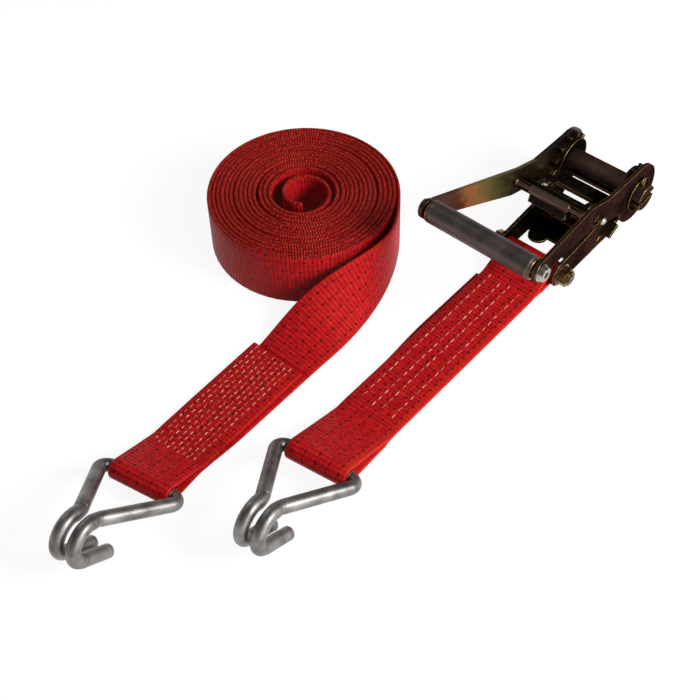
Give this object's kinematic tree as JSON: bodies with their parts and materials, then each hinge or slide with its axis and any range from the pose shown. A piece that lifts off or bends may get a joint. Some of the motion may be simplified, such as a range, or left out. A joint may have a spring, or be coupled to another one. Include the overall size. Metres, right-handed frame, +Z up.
{
  "type": "ratchet strap",
  "caption": "Ratchet lashing: a short webbing end with a lever ratchet and a wire claw hook, beside a long end with its own claw hook and the webbing wound in an upright roll.",
  "frame": {"origin": "centre of the bounding box's base, on the ground", "axes": "+X from the hooks to the ratchet, +Y toward the roll, +Z up"},
  "size_m": [0.5593, 0.2978, 0.0989],
  "materials": {
    "zinc_plate": "yellow-passivated zinc, dark and iridescent",
    "zinc_fastener": "yellow-passivated zinc, bright",
    "spring_steel": "drawn spring wire",
    "webbing": "woven polyester with dark tracer dashes",
    "hook_steel": "satin grey zinc"
  },
  "bodies": {
    "frame": {"frame_cheek_left": "zinc_plate", "frame_cheek_right": "zinc_plate", "frame_floor": "zinc_plate", "tail_bolt": "zinc_fastener", "tail_nut": "zinc_fastener", "tail_washers": "zinc_fastener", "lock_spring_left": "spring_steel", "lock_spring_right": "spring_steel"},
    "handle": {"handle_cheek_left": "zinc_plate", "handle_cheek_right": "zinc_plate", "handle_bridge": "zinc_plate", "grip_tube": "zinc_plate", "grip_bolt": "zinc_fastener", "grip_nut": "zinc_fastener", "drive_spring_left": "spring_steel", "drive_spring_right": "spring_steel"},
    "drive_pawl": {"drive_pawl": "zinc_plate"},
    "lock_pawl": {"lock_pawl": "zinc_plate"},
    "drum": {"spindle_half_upper": "zinc_plate", "spindle_half_lower": "zinc_plate", "ratchet_wheel_left": "zinc_plate", "ratchet_wheel_right": "zinc_plate", "spindle_washers": "zinc_fastener", "split_pins": "zinc_fastener"},
    "short_strap": {"short_webbing": "webbing"},
    "short_hook": {"short_hook": "hook_steel"},
    "long_strap": {"long_webbing_eye": "webbing", "long_webbing_tail": "webbing", "long_webbing_roll": "webbing"},
    "long_hook": {"long_hook": "hook_steel"}
  },
  "joints": [
    {"name": "handle_fold", "type": "hinge", "parent": "frame", "child": "handle", "pos_m": [0.2537, -0.091, 0.037], "axis": [0, 1, 0], "range_deg": [-17.5, 157.5]},
    {"name": "drive_pawl_slide", "type": "slide", "parent": "handle", "child": "drive_pawl", "axis": [-0.9537, 0, 0.3007], "range_m": [0, 0.006], "stiffness_N_per_m": 1500, "springref_m": -0.003, "deforming": ["drive_spring_left", "drive_spring_right"]},
    {"name": "lock_pawl_slide", "type": "slide", "parent": "frame", "child": "lock_pawl", "axis": [-0.8829, 0, -0.4695], "range_m": [0, 0.006], "stiffness_N_per_m": 1500, "springref_m": -0.003, "deforming": ["lock_spring_left", "lock_spring_right"]},
    {"name": "drum_spin", "type": "hinge", "parent": "frame", "child": "drum", "pos_m": [0.2537, -0.091, 0.037], "axis": [0, 1, 0], "continuous": true},
    {"name": "short_strap_swing", "type": "hinge", "parent": "frame", "child": "short_strap", "pos_m": [0.1617, -0.091, 0.011], "axis": [0, 1, 0], "range_deg": [-60, 5]},
    {"name": "short_hook_swing", "type": "hinge", "parent": "short_strap", "child": "short_hook", "pos_m": [-0.10526, -0.09877, 0.0229], "axis": [-0.1374, 0.9905, 0], "range_deg": [-60, 90]},
    {"name": "long_strap_lift", "type": "slide", "parent": "frame", "child": "long_strap", "axis": [0, 0, 1], "range_m": [0, 0.12]},
    {"name": "long_hook_swing", "type": "hinge", "parent": "long_strap", "child": "long_hook", "pos_m": [-0.1933, -0.0112, 0.0156], "axis": [-0.1805, 0.9836, 0], "range_deg": [-60, 90]}
  ]
}
